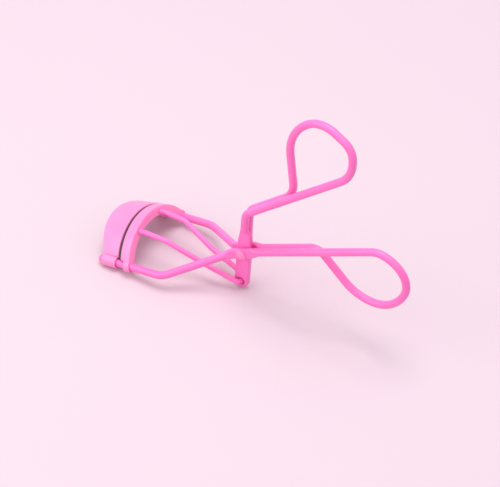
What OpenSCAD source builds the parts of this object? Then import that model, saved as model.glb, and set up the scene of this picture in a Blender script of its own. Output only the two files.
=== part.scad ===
// Eyelash curler, scissor type: bent wire frame, thumb lever, sliding lower jaw.
// Frame: X along the curler towards the finger loops, Y across the jaw, Z up as the curler
// stands on a table, origin under the middle of it on the table top. Millimetres.

/* [Wire] */
// Diameter of the wire bent into the frame and into the thumb lever
wire_d = 2.7; // [2.6:0.05:2.8]
// Diameter of the thinner wire bent into the push rod
rod_d = 1.9; // [1.7:0.1:2.0]

/* [Jaw] */
// Distance between the centres of the two jaw rails
rail_gap = 31; // [30:0.5:32]
// Angle of the jaw rails to the table
rail_tilt = 8; // [7:0.5:9.5]
// Inner radius of the bend where a rail turns in towards the pivot
rail_bend_r = 8; // [6:0.5:9]
// Lean of the two arches from square to the rails
jaw_lean = 10; // [8:0.5:11]
// Outer radius of the moving jaw channel
jaw_r = 18.8; // [18.6:0.1:19]
// Radial height of the moving jaw channel
jaw_wall = 3.3; // [3.1:0.1:3.5]
// Depth of the moving jaw channel, from its web to the edges of its lips
jaw_depth = 3.7; // [3.4:0.1:3.9]
// Outer radius of the fixed lash plate
plate_r = 18.8; // [18.6:0.1:19]
// Thickness of the fixed lash plate
plate_t = 1; // [0.8:0.1:1.2]
// Outer diameter of the knuckles rolled round the rail ends
knuckle_d = 4.3; // [4:0.1:4.4]
// How far the lash pad stands out of the channel
pad_proud = 1.1; // [0.9:0.1:1.2]

/* [Handles] */
// Angle of the finger shank to the table
shank_tilt = 26; // [25:0.5:27]
// Angle of the thumb bar to the table
bar_tilt = 40.4; // [40:0.1:41]
// Distance from the rail bends to the pivot, along the shank
pivot_reach = 26; // [25.5:0.1:26.5]
// Thickness of the flattened ears beside the lever
ear_t = 1.5; // [1.3:0.1:1.7]
// Width of the flattened ears
ear_w = 3.7; // [3.4:0.1:4.2]

/* [Linkage] */
// Width of the flattened lever blade
blade_w = 5.2; // [4.8:0.1:5.4]
// Thickness of the flattened lever blade
blade_t = 2.1; // [1.9:0.1:2.2]
// Diameter of the pivot rivet shank
rivet_d = 2.2; // [2:0.1:2.4]
// Diameter of the pivot rivet heads
rivet_head_d = 3.9; // [3.4:0.1:4.2]
// Diameter of the lever hole that takes the push rod
link_hole_d = 3; // [2.9:0.05:3.1]
// Distance from the jaw mid-plane to each push rod end
rod_spread = 6.2; // [6:0.1:6.6]

/* [Hidden] */
$fn = 96;
wr = wire_d / 2;
lap = 0.15;
rr = rod_d / 2;
hy = rail_gap / 2;
py = wire_d / 2 + 0.03;
ear_y = blade_t / 2 + 0.1 + ear_t / 2;
st = [cos(shank_tilt), 0, sin(shank_tilt)];
bd = [cos(bar_tilt), 0, sin(bar_tilt)];
bend0 = -pivot_reach * st;
web_x = -12.1;
web_t = 0.6;
lip_t = 0.5;
flange_x = web_x - jaw_depth;
arc_z = -5.1;
plate_x = flange_x - pad_proud - 0.1;
plate_back = -26.75;
plate_bow = 34;
knuckle_x0 = -23.8;
knuckle_x1 = -18.1;
rail_end = -24.9;
lug_r = 2.15;
lug_x = web_x - 2.3;
lug_z = -(web_x + lug_x) / 2 * tan(jaw_lean);
rod_z = 10.4;
hole = [-1.0, 0, -13.6];
knee = [1.3, 0, 17.6];
lever_ang = atan2(knee[0] - hole[0], knee[2] - hole[2]);
arm = norm(hole);
neck_w = 4.1;
bar0 = [3.5, 0, 19.45];
pivot_at = [-5.04, 0, 16.84];
pink = [1.0, 0.42, 0.76];

function unit(v) = v / norm(v);
function turn(a, v, b) = 180 - acos(unit(a - v) * unit(b - v));
function cut(a, v, b, r) = r * tan(turn(a, v, b) / 2);
function at(p, y) = [p[0], y, p[2]];

// Straight round bar between two points
module bar(a, b, r1, r2) {
    d = b - a;
    translate(a)
        rotate([0, acos(d[2] / norm(d)), atan2(d[1], d[0])])
            cylinder(h = norm(d), r1 = r1, r2 = r2);
}

// Round elbow that rounds the corner v of the path a, v, b with centre-line radius big
module elbow(a, v, b, big, r) {
    t = cut(a, v, b, big);
    p = v + unit(a - v) * t;
    q = v + unit(b - v) * t;
    c = v + unit(unit(a - v) + unit(b - v)) * big / cos(turn(a, v, b) / 2);
    x = unit(p - c);
    n = unit(cross(p - c, q - c));
    y = cross(n, x);
    multmatrix([[x[0], y[0], n[0], c[0]], [x[1], y[1], n[1], c[1]], [x[2], y[2], n[2], c[2]], [0, 0, 0, 1]])
        rotate_extrude(angle = turn(a, v, b))
            translate([big, 0])
                circle(r = r + 0.012);
}

// Bent wire through the corners in path, each inner corner rounded with its own radius
module wire(path, radii, r) {
    last = len(path) - 1;
    for (i = [0 : last - 1]) {
        a = i == 0 ? 0 : cut(path[i - 1], path[i], path[i + 1], radii[i - 1]) - lap;
        b = i == last - 1 ? 0 : cut(path[i], path[i + 1], path[i + 2], radii[i]) - lap;
        d = unit(path[i + 1] - path[i]);
        bar(path[i] + d * a, path[i + 1] - d * b, r, r);
    }
    for (i = [1 : last - 1])
        elbow(path[i - 1], path[i], path[i + 1], radii[i - 1], r);
}

// Puts a piece drawn round the pivot into the frame of the whole curler
module stand() {
    translate(pivot_at)
        children();
}

// Jaw frame: X along the rails, Z square to them, origin between the rail bends
module jaw_frame() {
    translate(bend0)
        rotate([0, -rail_tilt, 0])
            children();
}

// Clamp frame: the jaw frame leaned back, so that both arches stand upright in it
module clamp_frame() {
    translate(bend0)
        rotate([0, -rail_tilt - jaw_lean, 0])
            children();
}

// Ring sector round an axis along X, from section (radius, X), centred on straight up
module arch(half, z) {
    translate([0, 0, z])
        rotate([0, 90, 0])
            rotate([0, 0, 180 - half])
                rotate_extrude(angle = 2 * half)
                    children();
}

// Plate lying in the XZ plane, between y0 and y1
module flat(y0, y1) {
    translate([0, y1, 0])
        rotate([90, 0, 0])
            linear_extrude(y1 - y0)
                children();
}

module frame() {
    jx = [cos(rail_tilt), 0, sin(rail_tilt)];
    color(pink)
    stand()
    difference() {
        union() {
            for (s = [-1, 1]) {
                tip = bend0 + rail_end * jx + [0, s * hy, 0];
                knee_a = bend0 + [0, s * hy, 0];
                ear_a = -4.45 * st + [0, s * ear_y, 0];
                din = unit(ear_a - knee_a);
                wire([tip, knee_a, ear_a - din * 0.9], [rail_bend_r], wr);
                bar(tip + 0.2 * jx, tip - 0.6 * jx, wr - 0.04, wr * 0.6);
                bar(ear_a - din * 1.1, ear_a + din * 0.6, wr - 0.04, 0.6);
                bar(at(4.6 * st, s * py), at(6.5 * st, s * py), 0.62, wr - 0.04);
                rotate([0, -shank_tilt, 0])
                    flat(s * ear_y - ear_t / 2, s * ear_y + ear_t / 2) {
                        translate([-3.2, -ear_w / 2])
                            square([6.2, ear_w]);
                        translate([-3.2, 0])
                            circle(d = ear_w);
                        translate([3, 0])
                            circle(d = ear_w);
                        translate([3, -1.15])
                            square([3.55, 2.3]);
                    }
            }
            wire([at(6.2 * st, -py), at(57.2 * st, -py), [64.9, -0.9, 20.2], [59.9, -0.2, 7.6],
                [53.1, 0.6, -0.3], [41.4, py, 0.5], at(30.7 * st, py), at(6.2 * st, py)],
                [6.3, 10.2, 15.4, 13.3, 13.2, 4.5], wr);
        }
        translate([0, 10, 0])
            rotate([90, 0, 0])
                cylinder(h = 20, d = rivet_d + 0.04);
    }
}

module thumb_lever() {
    up = unit(knee);
    end = at(up * 10.2, 0);
    color(pink)
    stand()
    difference() {
        union() {
            wire([at(end, -py), at(knee, -py), at(bar0 + 49.1 * bd, -py), [40.6, -0.8, 61.9],
                [28.1, 0.5, 67.5], [15.5, py, 57.6], at(bar0 + 19.3 * bd, py), at(knee, py), at(end, py)],
                [4, 11.2, 6.4, 10, 17.3, 8.6, 4], wr);
            for (s = [-1, 1])
                bar(at(up * 8.4, s * 0.6), at(up * 10.4, s * py), 0.42, wr - 0.04);
            rotate([0, lever_ang, 0])
                flat(-blade_t / 2, blade_t / 2) {
                    polygon([[-blade_w / 2, -arm], [blade_w / 2, -arm], [blade_w / 2, 3], [neck_w / 2, 8.4],
                        [-neck_w / 2, 8.4], [-blade_w / 2, 3]]);
                    translate([0, -arm])
                        circle(d = blade_w);
                    translate([0, 8.4])
                        circle(d = neck_w);
                }
        }
        translate([0, 5, 0])
            rotate([90, 0, 0])
                cylinder(h = 10, d = rivet_d + 0.12);
        translate(at(hole, 5))
            rotate([90, 0, 0])
                cylinder(h = 10, d = link_hole_d);
    }
}

module pivot_rivet() {
    y = ear_y + ear_t / 2 + 0.02;
    color(pink)
    stand()
    rotate([90, 0, 0])
        rotate_extrude()
            polygon([[0, -y - 0.75], [1.0, -y - 0.7], [rivet_head_d / 2 - 0.25, -y - 0.45],
                [rivet_head_d / 2, -y - 0.15], [rivet_head_d / 2, -y], [rivet_d / 2, -y], [rivet_d / 2, y],
                [rivet_head_d / 2, y], [rivet_head_d / 2, y + 0.15], [rivet_head_d / 2 - 0.25, y + 0.45],
                [1.0, y + 0.7], [0, y + 0.75]]);
}

module lash_plate() {
    color(pink)
    stand()
    difference() {
        union() {
            clamp_frame()
                intersection() {
                    arch(63.5, arc_z)
                        translate([plate_r - plate_t, plate_x - 12])
                            square([plate_t, 12]);
                    translate([plate_back + plate_bow, 0, -5])
                        cylinder(h = 25, r = plate_bow);
                }
            jaw_frame()
                for (s = [-1, 1])
                    bar([knuckle_x0, s * hy, 0], [knuckle_x1, s * hy, 0], knuckle_d / 2, knuckle_d / 2);
        }
        jaw_frame()
            for (s = [-1, 1]) {
                bar([knuckle_x0 - 3, s * hy, 0], [knuckle_x1 + 2, s * hy, 0], wr + 0.02, wr + 0.02);
                bar([knuckle_x1, s * hy, 0], [knuckle_x1 + 4, s * hy, 0], wr + 0.35, wr + 0.35);
            }
    }
}

module moving_jaw() {
    r0 = jaw_r - jaw_wall;
    color(pink)
    stand()
    difference() {
        clamp_frame()
            union() {
                difference() {
                    arch(66.5, arc_z)
                        polygon([[r0, flange_x], [r0 + lip_t, flange_x], [r0 + lip_t, web_x - web_t],
                            [jaw_r - lip_t, web_x - web_t], [jaw_r - lip_t, flange_x], [jaw_r, flange_x],
                            [jaw_r, web_x], [r0, web_x]]);
                    for (s = [-1, 1])
                        translate([lug_x + 0.4 - 3, s * hy - 4, -2])
                            cube([3, 8, 2 + 4.3]);
                }
                for (s = [-1, 1])
                    bar([lug_x, s * hy, lug_z], [web_x - 0.02, s * hy, lug_z], lug_r, lug_r);
            }
        jaw_frame()
            for (s = [-1, 1])
                bar([lug_x - 3, s * hy, 0], [web_x + 3, s * hy, 0], wr + 0.06, wr + 0.06);
        clamp_frame()
            for (s = [-1, 1])
                bar([web_x - 2, s * rod_spread, rod_z], [web_x + 1, s * rod_spread, rod_z], 0.67, 0.67);
    }
}

module lash_pad() {
    r0 = jaw_r - jaw_wall + lip_t + 0.03;
    r1 = jaw_r - lip_t - 0.03;
    x0 = flange_x - pad_proud;
    color([0.22, 0.2, 0.22])
    stand()
    clamp_frame()
        arch(57, arc_z)
            polygon([[r0 - 0.25, x0 + 0.4], [r0 + 0.3, x0], [r1 - 0.1, x0], [r1 + 0.25, x0 + 0.3],
                [r1 + 0.25, flange_x - 0.05], [r1, flange_x - 0.05], [r1, web_x - web_t - 0.55],
                [r0, web_x - web_t - 0.55], [r0, flange_x - 0.05], [r0 - 0.25, flange_x - 0.05]]);
}

// A point given in the clamp frame, measured from the pivot
function from_clamp(p) = bend0 + [p[0] * cos(rail_tilt + jaw_lean) - p[2] * sin(rail_tilt + jaw_lean), p[1],
    p[0] * sin(rail_tilt + jaw_lean) + p[2] * cos(rail_tilt + jaw_lean)];

module push_rod() {
    ty = blade_t / 2 + rr + 0.12;
    foot = from_clamp([web_x + 0.02, 0, rod_z]);
    dx = [cos(rail_tilt + jaw_lean), 0, sin(rail_tilt + jaw_lean)];
    color(pink)
    stand()
    union() {
        wire([at(foot + 0.3 * dx, -rod_spread), [-28.0, -6.0, -4.6], [-15.3, -3.7, -9.7], at(hole, -ty),
            at(hole, ty), [-15.3, 3.7, -9.7], [-28.0, 6.0, -4.6], at(foot + 0.3 * dx, rod_spread)],
            [6, 12, 1.35, 1.35, 12, 6], rr);
        for (s = [-1, 1]) {
            bar(at(foot, s * rod_spread), at(foot + 0.8 * dx, s * rod_spread), 1.2, 1.2);
            bar(at(foot - 1.0 * dx, s * rod_spread), at(foot, s * rod_spread), 0.65, 0.65);
            bar(at(foot - 1.0 * dx, s * rod_spread), at(foot - 0.65 * dx, s * rod_spread), 1.0, 1.0);
        }
    }
}

frame();
thumb_lever();
pivot_rivet();
lash_plate();
moving_jaw();
lash_pad();
push_rod();
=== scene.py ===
"""Looks of the eyelash curler: detailed meshes, powder coat and silicone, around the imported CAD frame."""
import math

import bmesh
import bpy
import numpy as np
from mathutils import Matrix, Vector


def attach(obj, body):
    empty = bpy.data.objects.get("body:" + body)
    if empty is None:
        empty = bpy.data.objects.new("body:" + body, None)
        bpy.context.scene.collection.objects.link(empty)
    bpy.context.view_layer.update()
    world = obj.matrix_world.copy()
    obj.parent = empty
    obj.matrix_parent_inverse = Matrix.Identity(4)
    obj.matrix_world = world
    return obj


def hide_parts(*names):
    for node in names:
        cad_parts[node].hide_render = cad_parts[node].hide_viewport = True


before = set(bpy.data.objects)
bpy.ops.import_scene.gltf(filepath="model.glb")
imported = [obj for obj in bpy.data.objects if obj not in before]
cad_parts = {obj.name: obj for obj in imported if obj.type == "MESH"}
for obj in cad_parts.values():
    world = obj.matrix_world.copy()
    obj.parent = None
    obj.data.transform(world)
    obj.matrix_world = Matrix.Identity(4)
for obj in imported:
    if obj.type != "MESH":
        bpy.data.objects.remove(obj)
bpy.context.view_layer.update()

MM = 0.001
CORNER_STEPS = 8                             # segments in a rounded corner of a section
ARC_STEP = 0.25                              # mm between points on a bend
WELD = 1e-4                                  # points closer than this, in mm, become one
SHARP = 32                                   # degrees; edges turning more than this are shaded sharp


# ---------------------------------------------------------------- sizes in mm and degrees, as in the CAD
# Points are given from the pivot, unless a comment says otherwise.

PIVOT = np.array([-5.04, 0.0, 16.84])        # middle of the rivet, in the shared frame
WIRE_R, ROD_R = 1.35, 0.95
Y_WIRE = 1.38                                # two wires side by side, each from the middle plane
HALF_GAP = 15.5                              # each rail, from the middle plane
EAR_Y, EAR_HALF = 1.9, 0.75                  # an ear's middle, and half its thickness
STEP = 0.35                                  # between the rings of a swept wire

SHANK_TILT, BAR_TILT, RAIL_TILT = 26, 40.4, 8
ARCH_LEAN = 10                               # the arches lean this far from square to the rails

# The jaws, in the clamp frame, in which both arches stand upright
ARCH_R, ARCH_Z = 18.8, -5.1                  # outer radius and centre of both arches
WALL = 3.3                                   # radial height of the moving jaw
FLANGE_X, WEB_X = -15.8, -12.1               # open edge and back of its channel
LUG_X, LUG_R = -14.4, 2.15                   # the channel is cut back to LUG_X at its two lugs
ROD_Y, ROD_Z = 6.2, 10.4                     # where the push rod's ends pass through its web
PLATE_X, PLATE_BACK = -17.0, -26.75          # near and far edge of the fixed plate, in the middle


# ---------------------------------------------------------------- vectors and paths

def vec(*v):
    return np.array(v, float)


def unit(v):
    return v / np.linalg.norm(v)


def smooth(t):
    t = np.clip(t, 0, 1)
    return t * t * (3 - 2 * t)


def mix(a, b, t):
    return a + (b - a) * t


def direction(deg):
    return vec(math.cos(math.radians(deg)), 0, math.sin(math.radians(deg)))


def square_to(v):
    """The direction a quarter turn up from v, in the plane of X and Z."""
    return vec(-v[2], 0, v[0])


def at(p, y):
    return vec(p[0], y, p[2])


ORIGIN, ACROSS = vec(0, 0, 0), vec(0, 1, 0)
SHANK, BAR, JAW = direction(SHANK_TILT), direction(BAR_TILT), direction(RAIL_TILT)
CLAMP = direction(RAIL_TILT + ARCH_LEAN)
BEND = -26 * SHANK                           # where the line of the shanks meets the line of the rails


def jaw_point(x, y, z):
    """A point given in the jaw frame: X along the rails, Z square to them, from the rail bends."""
    return BEND + x * JAW + vec(0, y, 0) + z * square_to(JAW)


def clamp_point(x, y, z):
    """The same in the clamp frame."""
    return BEND + x * CLAMP + vec(0, y, 0) + z * square_to(CLAMP)


def travelled(pts):
    """Distance along the path at each of its points."""
    return np.concatenate([[0], np.cumsum(np.linalg.norm(np.diff(pts, axis=0), axis=1))])


def points_at(pts, s, wanted):
    return np.stack([np.interp(wanted, s, pts[:, k]) for k in range(3)], 1)


def rounded_path(corners, radii, step):
    """Centre-line through the corners, each inner corner an arc of its own radius, then evenly resampled."""
    out = [corners[0]]
    for a, v, b, r in zip(corners, corners[1:], corners[2:], radii):
        u, w = unit(a - v), unit(b - v)
        bend = math.pi - math.acos(np.clip(u @ w, -1, 1))
        if bend < 1e-4:
            out.append(v)
            continue
        p = v + u * r * math.tan(bend / 2)
        c = v + unit(u + w) * r / math.cos(bend / 2)
        x = unit(p - c)
        y = unit(np.cross(np.cross(u, w), x))
        y = y if y @ -u > 0 else -y
        n = max(6, int(r * bend / ARC_STEP))
        out += [c + r * (math.cos(t) * x + math.sin(t) * y) for t in np.linspace(0, bend, n)]
    out.append(corners[-1])
    return resample(np.array(out), step)


def resample(pts, step):
    s = travelled(pts)
    return points_at(pts, s, np.linspace(0, s[-1], max(2, int(round(s[-1] / step)) + 1)))


def relax(pts, sigma, step):
    """Softens the start and end of each bend, as in real bent wire. The two ends stay where they are."""
    n = int(math.ceil(3 * sigma / step))
    k = np.exp(-0.5 * (np.arange(-n, n + 1) * step / sigma) ** 2)
    k /= k.sum()
    before = 2 * pts[0] - pts[n:0:-1]
    after = 2 * pts[-1] - pts[-2:-n - 2:-1]
    long = np.vstack([before, pts, after])
    return np.stack([np.convolve(long[:, i], k, "valid") for i in range(3)], 1)


def tangents(pts):
    d = np.gradient(pts, axis=0)
    return d / np.linalg.norm(d, axis=1)[:, None]


def level_sides(pts):
    """Side vectors square to the path, as near to Y as they can be."""
    return np.array([unit(ACROSS - d[1] * d) for d in tangents(pts)])


def carried_sides(pts, first):
    """One side vector for each point, carried along the path without twist."""
    t = tangents(pts)
    s = unit(first - (first @ t[0]) * t[0])
    out = [s]
    for d in t[1:]:
        s = unit(s - (s @ d) * d)
        out.append(s)
    return np.array(out)


# ---------------------------------------------------------------- sections, sweeps and cuts

def rounded_rect(a, b, radii):
    """Outline with half sides a and b. Corners run (+,+), (-,+), (-,-), (+,-), each with its own radius."""
    signs = [(1, 1), (-1, 1), (-1, -1), (1, -1)]
    pts = []
    for q, ((sa, sb), r) in enumerate(zip(signs, radii)):
        for k in range(CORNER_STEPS + 1):
            t = (q + k / CORNER_STEPS) * math.pi / 2
            pts.append((sa * (a - r) + r * math.cos(t), sb * (b - r) + r * math.sin(t)))
    return np.array(pts)


def round_section(radius):
    return rounded_rect(radius, radius, [radius] * 4)


def round_polygon(points, radii, n=5):
    """Outline through the points, each corner an arc of its own radius with n points."""
    out = []
    m = len(points)
    for i in range(m):
        a, v, b = (np.array(points[j % m], float) for j in (i - 1, i, i + 1))
        r = radii[i]
        u, w = unit(a - v), unit(b - v)
        bend = math.pi - math.acos(np.clip(u @ w, -1, 1))
        p, q = v + u * r * math.tan(bend / 2), v + w * r * math.tan(bend / 2)
        c = v + unit(u + w) * r / math.cos(bend / 2)
        for t in np.linspace(0, 1, n):
            out.append(c + r * unit((1 - t) * (p - c) + t * (q - c)))
    return np.array(out)


def arc2(cx, cy, r, a0, a1, n):
    """Flat arc of n points from a0 to a1 degrees."""
    return [(cx + r * math.cos(t), cy + r * math.sin(t)) for t in map(math.radians, np.linspace(a0, a1, n))]


def build(name, verts, faces):
    """Mesh object from points in mm round the pivot."""
    mesh = bpy.data.meshes.new(name)
    bm = bmesh.new()
    vs = [bm.verts.new((np.asarray(v) + PIVOT) * MM) for v in verts]
    for f in faces:
        if len(set(f)) == len(f):
            bm.faces.new([vs[i] for i in f])
    bmesh.ops.remove_doubles(bm, verts=bm.verts, dist=WELD * MM)
    bmesh.ops.dissolve_degenerate(bm, edges=bm.edges, dist=WELD * MM)
    bmesh.ops.recalc_face_normals(bm, faces=bm.faces)
    bm.to_mesh(mesh)
    bm.free()
    o = bpy.data.objects.new(name, mesh)
    bpy.context.scene.collection.objects.link(o)
    return o


def loft(name, rings, left_out=()):
    """Skin over closed rings of points, both ends capped. left_out holds (ring, side) pairs with no face."""
    n = len(rings[0])
    faces = []
    for i in range(len(rings) - 1):
        for k in range(n):
            j = (k + 1) % n
            if (i, k) not in left_out:
                faces.append((i * n + k, i * n + j, (i + 1) * n + j, (i + 1) * n + k))
    faces.append(tuple(range(n)))
    faces.append(tuple((len(rings) - 1) * n + k for k in range(n)))
    return build(name, np.vstack(rings), faces)


def sweep_rings(pts, sides, sections):
    rings = []
    for p, s, d, sec in zip(pts, sides, tangents(pts), sections):
        w = np.cross(d, s)
        rings.append(p + np.outer(sec[:, 0], s) + np.outer(sec[:, 1], w))
    return rings


def nose(pts, radius, round_r):
    """Radius at each point of a path whose two ends are rounded off."""
    s = travelled(pts)
    inside = np.clip(1 - np.minimum(s, s[-1] - s) / round_r, 0, 1)
    return radius - round_r * (1 - np.sqrt(np.clip(1 - inside ** 2, 0, 1)))


def dense_ends(pts, length, n):
    """More points within length of both ends, so that a rounded end is smooth."""
    s = travelled(pts)
    total = s[-1]
    ends = length * (1 - np.cos(np.linspace(0, math.pi / 2, n)))
    inner = s[(s > length) & (s < total - length)]
    return points_at(pts, s, np.concatenate([ends, inner, total - ends[::-1]]))


def lathe(name, profile, origin, axis, steps=64):
    """Turned piece: profile is (radius, distance along axis) pairs, from one end on the axis to the other."""
    axis = unit(axis)
    x = unit(np.cross(axis, vec(0.3, 0.2, 0.9)))
    y = np.cross(axis, x)
    verts, faces = [], []
    m = len(profile)
    for j in range(steps):
        t = 2 * math.pi * j / steps
        r = math.cos(t) * x + math.sin(t) * y
        verts += [origin + h * axis + q * r for q, h in profile]
        k = (j + 1) % steps
        faces += [(j * m + i, j * m + i + 1, k * m + i + 1, k * m + i) for i in range(m - 1)]
    return build(name, verts, faces)


def boolean(o, other, operation):
    mod = o.modifiers.new("cut", "BOOLEAN")
    mod.operation = operation
    mod.solver = "EXACT"
    mod.object = other
    bpy.context.view_layer.update()
    depsgraph = bpy.context.evaluated_depsgraph_get()
    mesh = bpy.data.meshes.new_from_object(o.evaluated_get(depsgraph))
    o.modifiers.clear()
    old = o.data
    o.data = mesh
    bpy.data.meshes.remove(old)
    bpy.data.objects.remove(other)


def bore(o, centre, axis, radius, half, chamfer):
    """Cuts a round hole with a small chamfer at both faces, which lie half from the centre."""
    beyond = 1                               # the cutter reaches this far past each face
    mouth = [(0, -half - beyond), (radius + chamfer + beyond, -half - beyond),
             (radius + chamfer, -half), (radius, -half + chamfer)]
    profile = mouth + [(r, -h) for r, h in reversed(mouth)]
    boolean(o, lathe("cutter", profile, centre, axis, 48), "DIFFERENCE")


# ---------------------------------------------------------------- materials

def node_tree(name):
    m = bpy.data.materials.new(name)
    m.use_nodes = True
    nt = m.node_tree
    return m, nt, nt.nodes["Principled BSDF"]


def noise(nt, scale, detail, rough=0.5):
    """Noise in the object's own coordinates. Scale is in waves to the metre."""
    n = nt.nodes.new("ShaderNodeTexNoise")
    n.inputs["Scale"].default_value = scale
    n.inputs["Detail"].default_value = detail
    n.inputs["Roughness"].default_value = rough
    pos = nt.nodes.new("ShaderNodeTexCoord")
    nt.links.new(pos.outputs["Object"], n.inputs["Vector"])
    return n.outputs["Fac"]


def spread(nt, value, low, high, out_low, out_high):
    m = nt.nodes.new("ShaderNodeMapRange")
    for i, v in zip((1, 2, 3, 4), (low, high, out_low, out_high)):
        m.inputs[i].default_value = v
    nt.links.new(value, m.inputs[0])
    return m.outputs[0]


def blend_colours(nt, factor, a, b):
    m = nt.nodes.new("ShaderNodeMix")
    m.data_type = "RGBA"
    m.inputs[6].default_value = (*a, 1)
    m.inputs[7].default_value = (*b, 1)
    nt.links.new(factor, m.inputs[0])
    return m.outputs[2]


def bump(nt, bsdf, height, strength, distance):
    b = nt.nodes.new("ShaderNodeBump")
    b.inputs["Strength"].default_value = strength
    b.inputs["Distance"].default_value = distance
    nt.links.new(height, b.inputs["Height"])
    nt.links.new(b.outputs["Normal"], bsdf.inputs["Normal"])


def powder_coat(name, low, high):
    """Satin powder coat: slight colour drift, fine orange peel and a soft clear gloss."""
    m, nt, bsdf = node_tree(name)
    nt.links.new(blend_colours(nt, spread(nt, noise(nt, 90, 3), 0.35, 0.65, 0, 1), low, high),
                 bsdf.inputs["Base Color"])
    nt.links.new(spread(nt, noise(nt, 700, 2), 0.3, 0.7, 0.36, 0.46), bsdf.inputs["Roughness"])
    bump(nt, bsdf, noise(nt, 2200, 2, 0.6), 0.35, 0.00002)
    bsdf.inputs["Specular IOR Level"].default_value = 0.5
    bsdf.inputs["Coat Weight"].default_value = 0.25
    bsdf.inputs["Coat Roughness"].default_value = 0.28
    return m


def silicone(name):
    """Dull dark rubber with a fine grain."""
    m, nt, bsdf = node_tree(name)
    nt.links.new(blend_colours(nt, noise(nt, 260, 3), (0.024, 0.016, 0.020), (0.042, 0.028, 0.034)),
                 bsdf.inputs["Base Color"])
    nt.links.new(spread(nt, noise(nt, 900, 2), 0.3, 0.7, 0.5, 0.62), bsdf.inputs["Roughness"])
    bump(nt, bsdf, noise(nt, 3000, 2, 0.6), 0.5, 0.00003)
    bsdf.inputs["Sheen Weight"].default_value = 0.1
    bsdf.inputs["Sheen Roughness"].default_value = 0.5
    return m


coat_wire = powder_coat("powder_coat_wire", (0.93, 0.150, 0.500), (0.95, 0.166, 0.525))
# The sheet parts get the same pink as the wire, made paler: painted light, standing in for the brighter lit look of
# the fixed plate.
sheet_coat_painted_light = powder_coat("powder_coat_sheet", (0.93, 0.230, 0.520), (0.95, 0.252, 0.545))
pad_rubber = silicone("pad_silicone")


def place(o, body, nodes, material):
    for p in o.data.polygons:
        p.use_smooth = True
    o.data.set_sharp_from_angle(angle=math.radians(SHARP))
    o.data.materials.clear()
    o.data.materials.append(material)
    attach(o, body)
    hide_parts(*nodes)


# ---------------------------------------------------------------- frame: one bent wire, flattened into two ears

RAIL_END = -25.5                             # along the rails, from their bends
EAR_BENDS = -4.9, 3.2                        # along the shanks: where the wire turns into the ear and out of it
PAIR_START, PAIR_END = 6.8, 57.2             # along the shanks: where the two wires lie side by side
PAIR_END_REAR = 30.7                         # the rear wire leaves the pair sooner, for the finger loop
FLAT_START, FLAT_END = -7.6, 7.4             # along the shanks: the pressed stretch, fading over these lengths
FADE_START, FADE_END = 3.6, 3.8
EAR_WIDE, EAR_ROUND = 1.85, 0.5              # half an ear's width, and its edge radius
RAIL_NOSE = 0.7                              # rounding of the rail ends


def frame_wire():
    def end(s):
        return [jaw_point(RAIL_END, s * HALF_GAP, 0), jaw_point(0, s * HALF_GAP, 0),
                at(EAR_BENDS[0] * SHANK, s * EAR_Y), at(EAR_BENDS[1] * SHANK, s * EAR_Y)]
    finger_loop = [at(PAIR_END * SHANK, -Y_WIRE), vec(64.9, -0.9, 20.2), vec(59.9, -0.2, 7.6),
                   vec(53.1, 0.6, -0.3), vec(41.4, Y_WIRE, 0.5), at(PAIR_END_REAR * SHANK, Y_WIRE)]
    corners = (end(-1) + [at(PAIR_START * SHANK, -Y_WIRE)] + finger_loop
               + [at(PAIR_START * SHANK, Y_WIRE)] + end(1)[::-1])
    end_radii = [8, 5, 6, 6]
    radii = end_radii + [6.3, 10.2, 15.4, 13.3, 13.2, 4.5] + end_radii[::-1]
    pts = relax(rounded_path(corners, radii, STEP), 0.7, STEP)
    pts = dense_ends(pts, RAIL_NOSE, 8)
    s = pts @ SHANK
    flat = smooth((s - FLAT_START) / FADE_START) * smooth((FLAT_END - s) / FADE_END)
    sections = [rounded_rect(mix(r, EAR_HALF, f), mix(r, EAR_WIDE, f), [mix(r, EAR_ROUND, f)] * 4)
                for r, f in zip(nose(pts, WIRE_R, RAIL_NOSE), flat)]
    o = loft("frame_wire", sweep_rings(pts, level_sides(pts), sections))
    bore(o, ORIGIN, ACROSS, 1.12, EAR_Y + EAR_HALF, 0.1)
    return o


# ---------------------------------------------------------------- thumb lever: one wire, its ends pressed to a blade

HOLE = vec(-1.0, 0, -13.6)                   # the push rod's hole
KNEE = vec(1.3, 0, 17.6)
BAR_START = vec(3.5, 0, 19.45)
UP = unit(KNEE)
BLADE_T = 0.525                              # half the thickness of one pressed wire, a quarter of the blade's
BLADE_TOP = 14.5                             # along UP; the wire is round from here on
LOBE, WAIST = 2.58, 2.02                     # half the blade's width round the hole, and at its narrowest
BLADE_EDGE = 0.4                             # outer edge radius
SLOT = 0.03                                  # half the slot between the two wires above the blade


def blade_rings(side):
    """Rings of one pressed wire end, from the blade's tip up to where it is round, on one side of Y = 0."""
    across = vec(UP[2], 0, -UP[0]) * side                     # keeps the corner order of the wire it joins
    reach = np.linalg.norm(HOLE)
    tip = [-reach - LOBE * math.sin(t) for t in np.linspace(1.48, 0, 16)]
    along = np.concatenate([tip, np.arange(-reach + 0.4, BLADE_TOP, 0.4), [BLADE_TOP]])
    rings, closed = [], []
    for s in along:
        f = smooth((11.2 - s) / 3.0)                          # 1 where the wire is fully pressed
        c = smooth((10.6 - s) / 1.9)                          # 1 where the slot between the wires has closed
        if s < -reach:
            half = math.sqrt(LOBE ** 2 - (s + reach) ** 2)
        else:
            half = mix(WAIST, LOBE, smooth((8.6 - s) / 6.2))
        a, b = mix(WIRE_R, BLADE_T, f), mix(WIRE_R, half, f)
        outer = min(mix(WIRE_R, BLADE_EDGE, f), a, b)
        inner = min(outer * (1 - c), a, b)
        radii = [outer, inner, inner, outer] if side > 0 else [inner, outer, outer, inner]
        sec = rounded_rect(a, b, radii)
        centre = s * UP + vec(0, side * (a + SLOT * (1 - c)), 0)
        rings.append(centre + np.outer(sec[:, 0], ACROSS) + np.outer(sec[:, 1], across))
        closed.append(c >= 1)
    return rings, closed


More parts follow.
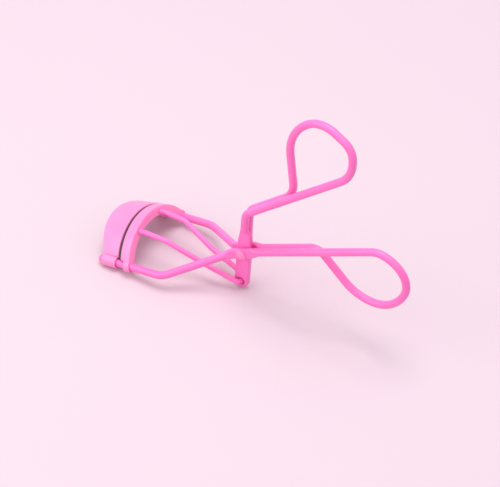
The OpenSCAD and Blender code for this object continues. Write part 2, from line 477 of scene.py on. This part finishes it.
def lever_wire():
    front, closed = blade_rings(-1)
    rear, _ = blade_rings(1)
    top = BLADE_TOP * UP
    corners = [at(top, -Y_WIRE), at(KNEE, -Y_WIRE), at(BAR_START + 49.1 * BAR, -Y_WIRE),
               vec(40.6, -0.8, 61.9), vec(28.1, 0.5, 67.5), vec(15.5, Y_WIRE, 57.6),
               at(BAR_START + 19.3 * BAR, Y_WIRE), at(KNEE, Y_WIRE), at(top, Y_WIRE)]
    pts = relax(rounded_path(corners, [4, 11.2, 6.4, 10, 17.3, 8.6, 4], STEP), 0.5, STEP)
    loop = sweep_rings(pts, level_sides(pts), [round_section(WIRE_R)] * len(pts))
    rings = front + loop[1:-1] + rear[::-1]
    last = len(rings) - 1
    # Where the slot has closed, the two wires' touching sides get no face and their edges weld.
    side_in_front, side_in_rear = 4 * (CORNER_STEPS + 1) - 1, 2 * (CORNER_STEPS + 1) - 1
    left_out = set()
    for i in range(len(front) - 1):
        if closed[i] and closed[i + 1]:
            left_out |= {(i, side_in_front), (last - i - 1, side_in_rear)}
    o = loft("thumb_lever_wire", rings, left_out)
    bore(o, ORIGIN, ACROSS, 1.16, 2 * BLADE_T, 0.1)
    bore(o, HOLE, ACROSS, 1.5, 2 * BLADE_T, 0.16)
    return o


# ---------------------------------------------------------------- rivet and push rod

RIVET_R, HEAD_R = 1.1, 1.95
HEAD_RISE, HEAD_RIM = 0.75, 0.2
HEAD_CLEAR = 0.02                            # between the head and the ear


def rivet():
    face = EAR_Y + EAR_HALF + HEAD_CLEAR
    dome = HEAD_RISE - HEAD_RIM
    dome_r = (HEAD_R ** 2 + dome ** 2) / (2 * dome)
    half = math.degrees(math.asin(HEAD_R / dome_r))
    top = arc2(0, face + HEAD_RISE - dome_r, dome_r, 90 - half, 90, 10)
    head = [(RIVET_R, face), (HEAD_R - 0.1, face), (HEAD_R, face + 0.1)] + top
    head[-1] = (0, face + HEAD_RISE)
    profile = [(r, -h) for r, h in reversed(head)] + head
    return lathe("pivot_rivet_head", profile, ORIGIN, ACROSS)


ROD_CLEAR = 0.12                             # between the rod and the blade's faces
ROD_BENDS = (-28.0, 6.0, -4.6), (-15.3, 3.7, -9.7)            # on one side, from the jaw to the blade
ROD_END = [(0, 0.85), (0.1, 1.0), (0.3, 1.0),                 # (distance from the end, radius): the head,
           (0.36, 0.65), (0.98, 0.65),                        # the neck through the web,
           (1.0, 1.1), (1.08, 1.2), (1.45, 1.2), (1.75, 1.0), (1.9, ROD_R)]     # and the swaged collar


def push_rod_wire():
    beside = 2 * BLADE_T + ROD_R + ROD_CLEAR

    def end(s):
        return [clamp_point(WEB_X - 0.98, s * ROD_Y, ROD_Z), clamp_point(WEB_X + 1.4, s * ROD_Y, ROD_Z),
                *(vec(x, s * y, z) for x, y, z in ROD_BENDS)]
    corners = end(-1) + [at(HOLE, -beside), at(HOLE, beside)] + end(1)[::-1]
    step = 0.12
    pts = relax(rounded_path(corners, [3, 6, 12, 1.35, 1.35, 12, 6, 3], step), 0.25, step)
    s = travelled(pts)
    radii = np.interp(np.minimum(s, s[-1] - s), *zip(*ROD_END))
    sections = [round_section(r)[::2] for r in radii]
    return loft("push_rod_wire", sweep_rings(pts, carried_sides(pts, vec(0, 0, 1)), sections))


# ---------------------------------------------------------------- fixed jaw

SHEET, SHEET_CURL = 0.5, 0.315               # half the sheet's thickness, and where it curls round a rail
PLATE_HALF = 53                              # degrees of arch each side of the middle
PLATE_BOW = 34                               # radius of the far edge, seen from above
CURL_R, CURL_START, CURL_END = 1.830, 160, 455    # middle of the sheet round the rail, in degrees
KNUCKLE = -23.8, -18.1                       # far and near end of the knuckles, along the rails
TURN_X = -21.0                               # along the rails: where the leaning arch turns square to them


def normals2(pts):
    d = tangents(pts)
    return np.stack([-d[:, 1], d[:, 0]], 1)


def bezier(p0, p1, p2, p3, n):
    t = np.linspace(0, 1, n)[:, None]
    return (1 - t) ** 3 * p0 + 3 * (1 - t) ** 2 * t * p1 + 3 * (1 - t) * t ** 2 * p2 + t ** 3 * p3


def lash_plate_sheet():
    """One sheet: an arch, whose two ends curl outwards round the rail ends."""
    lean = math.radians(ARCH_LEAN)
    drop, shift = TURN_X * math.sin(lean), TURN_X * math.cos(lean)
    r = ARCH_R - SHEET
    arch = np.array(arc2(0, ARCH_Z + drop, r, 90, 90 - PLATE_HALF, 50))
    curl = np.array(arc2(HALF_GAP, 0, CURL_R, CURL_START, CURL_END, 60))
    a, b = math.radians(PLATE_HALF), math.radians(CURL_START)
    leg = bezier(arch[-1], arch[-1] + 0.9 * np.array([math.cos(a), -math.sin(a)]),
                 curl[0] - 1.1 * np.array([-math.sin(b), math.cos(b)]), curl[0], 16)
    half = np.vstack([arch, leg[1:], curl[1:]])
    path = np.vstack([half[:0:-1] * [-1, 1], half])
    middle = len(half) - 1
    s = travelled(half)
    start = s[len(arch) + len(leg) - 2]                       # where the curl begins
    rings = []
    for i, (c, m) in enumerate(zip(path, normals2(path))):
        q = s[abs(i - middle)]
        y = min(abs(c[0]), HALF_GAP)
        k = smooth((q - start + 1.6) / 1.8)
        bow = PLATE_BOW - math.sqrt(PLATE_BOW ** 2 - y ** 2)
        far = mix(PLATE_BACK + bow - shift, KNUCKLE[0] - TURN_X, k)
        near = mix(PLATE_X - shift, KNUCKLE[1] - TURN_X, smooth((q - start + 1.3) / 0.9))
        sec = rounded_rect(mix(SHEET, SHEET_CURL, k), (near - far) / 2, [0.24] * 4) + [0, (far + near) / 2]
        along = direction(RAIL_TILT + ARCH_LEAN * (1 - k))
        rings.append(np.array([jaw_point(TURN_X, c[0] + h * m[0], 0) + x * along
                               + (c[1] + h * m[1]) * square_to(along) for h, x in sec]))
    return loft("lash_plate_sheet", rings)


# ---------------------------------------------------------------- moving jaw and its pad

CHANNEL_HALF = 66.5                          # degrees of arch each side of the middle
LIP, WEB = 0.5, 0.6                          # thickness of the channel's lips and of its back
LUG_EDGE = 0.3
PAD_HALF, PAD_PROUD = 57, 1.1                # degrees each side of the middle, and how far the pad stands out


def clamp_sweep(name, half, sections):
    """Sweep round the moving jaw's arch in the clamp frame. Sections are (outwards, x) outlines."""
    turns = np.radians(np.linspace(-half, half, len(sections)))
    middle = ARCH_R - WALL / 2
    return loft(name, [np.array([clamp_point(x, (middle + h) * math.sin(t), ARCH_Z + (middle + h) * math.cos(t))
                                 for h, x in sec]) for t, sec in zip(turns, sections)])


def moving_jaw_channel():
    h, inside = WALL / 2, WALL / 2 - LIP
    sections = []
    for turn in np.linspace(-CHANNEL_HALF, CHANNEL_HALF, 110):
        lip = mix(FLANGE_X, LUG_X, smooth((abs(turn) - PAD_HALF) / 4))
        sections.append(round_polygon([(-h, lip), (-inside, lip), (-inside, WEB_X - WEB), (inside, WEB_X - WEB),
                                       (inside, lip), (h, lip), (h, WEB_X), (-h, WEB_X)],
                                      [0.2, 0.2, 0.15, 0.15, 0.2, 0.2, 0.35, 0.35]))
    o = clamp_sweep("moving_jaw_channel", CHANNEL_HALF, sections)
    length, middle = WEB_X - LUG_X, (WEB_X + LUG_X) / 2
    lug_z = -middle * math.tan(math.radians(ARCH_LEAN))       # where the rail passes through the lug's middle
    edge = LUG_R - LUG_EDGE
    rim = (arc2(edge, LUG_EDGE, LUG_EDGE, -90, 0, 6)
           + arc2(edge, length - LUG_EDGE, LUG_EDGE, 0, 90, 6))
    profile = [(0, 0)] + rim + [(0, length)]
    for s in (-1, 1):
        boolean(o, lathe("lug", profile, clamp_point(LUG_X, s * HALF_GAP, lug_z), CLAMP), "UNION")
    for s in (-1, 1):
        bore(o, clamp_point(middle, s * HALF_GAP, lug_z), JAW, 1.41, length / 2, 0.12)
    for s in (-1, 1):
        bore(o, clamp_point(WEB_X - WEB / 2, s * ROD_Y, ROD_Z), CLAMP, 0.67, WEB / 2, 0.03)
    return o


def lash_pad_strip():
    """A strip that fills the channel between its lips and stands out of it, slightly wider where it does."""
    tip, mouth, back, h = FLANGE_X - PAD_PROUD, FLANGE_X - 0.05, WEB_X - WEB - 0.55, WALL / 2
    narrow, wide = h - LIP - 0.03, h - 0.28
    sec = round_polygon([(-narrow, back), (-narrow, mouth), (-wide, mouth), (-wide, tip),
                         (wide, tip), (wide, mouth), (narrow, mouth), (narrow, back)],
                        [0.2, 0.02, 0.12, 0.5, 0.35, 0.12, 0.02, 0.2])
    return clamp_sweep("lash_pad_strip", PAD_HALF, [sec] * 90)


# ---------------------------------------------------------------- the object

place(frame_wire(), "frame", ["frame"], coat_wire)
place(rivet(), "frame", ["pivot_rivet"], sheet_coat_painted_light)
place(lash_plate_sheet(), "frame", ["lash_plate"], sheet_coat_painted_light)
place(lever_wire(), "lever", ["thumb_lever"], coat_wire)
place(moving_jaw_channel(), "jaw", ["moving_jaw"], sheet_coat_painted_light)
place(push_rod_wire(), "jaw", ["push_rod"], coat_wire)
pad = lash_pad_strip()
place(pad, "jaw", ["lash_pad"], pad_rubber)


# ---------------------------------------------------------------- floor, light and camera

FLOOR_HALF = 1.5                             # metres
AIM = (0, 0, 0.02)                           # metres; both lights point here

AZIMUTH, ELEVATION = math.radians(32.47), math.radians(41.87)
LENS, SENSOR = 180.3528, 36                  # mm
PIVOT_DEPTH = 836.07                         # mm from the camera to the pivot, along its line of sight
PIVOT_RIGHT, PIVOT_UP = -1.7657, -2.2513     # mm from the line of sight to the pivot


def floor():
    m, nt, bsdf = node_tree("floor_paper")
    nt.links.new(blend_colours(nt, noise(nt, 4, 3), (0.665, 0.530, 0.600), (0.680, 0.546, 0.617)),
                 bsdf.inputs["Base Color"])
    bump(nt, bsdf, noise(nt, 900, 3), 0.1, 0.0001)
    bsdf.inputs["Roughness"].default_value = 0.85
    bsdf.inputs["Specular IOR Level"].default_value = 0.2
    mesh = bpy.data.meshes.new("floor")
    e = FLOOR_HALF
    mesh.from_pydata([(-e, -e, 0), (e, -e, 0), (e, e, 0), (-e, e, 0)], [], [(0, 1, 2, 3)])
    mesh.materials.append(m)
    o = bpy.data.objects.new("floor", mesh)
    bpy.context.scene.collection.objects.link(o)


def softbox(name, position, size, watts):
    light = bpy.data.lights.new(name, "AREA")
    light.shape = "DISK"
    light.size = size
    light.energy = watts
    o = bpy.data.objects.new(name, light)
    o.location = position
    o.rotation_euler = (Vector(AIM) - Vector(position)).to_track_quat("-Z", "Y").to_euler()
    bpy.context.scene.collection.objects.link(o)


def studio(strength):
    """Even white light from all round."""
    world = bpy.data.worlds.new("studio")
    world.use_nodes = True
    world.node_tree.nodes["Background"].inputs["Color"].default_value = (1.0, 1.0, 1.0, 1)
    world.node_tree.nodes["Background"].inputs["Strength"].default_value = strength
    bpy.context.scene.world = world
    bpy.context.scene.view_settings.view_transform = "Standard"


def camera():
    ahead = vec(-math.sin(AZIMUTH) * math.cos(ELEVATION), math.cos(AZIMUTH) * math.cos(ELEVATION),
                -math.sin(ELEVATION))
    right = vec(math.cos(AZIMUTH), math.sin(AZIMUTH), 0)
    up = np.cross(right, ahead)
    data = bpy.data.cameras.new("camera")
    data.sensor_width = SENSOR
    data.lens = LENS
    data.clip_start, data.clip_end = 0.01, 20
    o = bpy.data.objects.new("camera", data)
    o.location = (PIVOT - PIVOT_DEPTH * ahead - PIVOT_RIGHT * right - PIVOT_UP * up) * MM
    o.rotation_euler = Vector(ahead).to_track_quat("-Z", "Y").to_euler()
    bpy.context.scene.collection.objects.link(o)
    bpy.context.scene.camera = o


floor()
softbox("overhead", (-0.03, 0.06, 0.8), 0.5, 3.4)
softbox("front_fill", (-0.45, -0.50, 0.45), 0.7, 2.0)
studio(0.85)
camera()
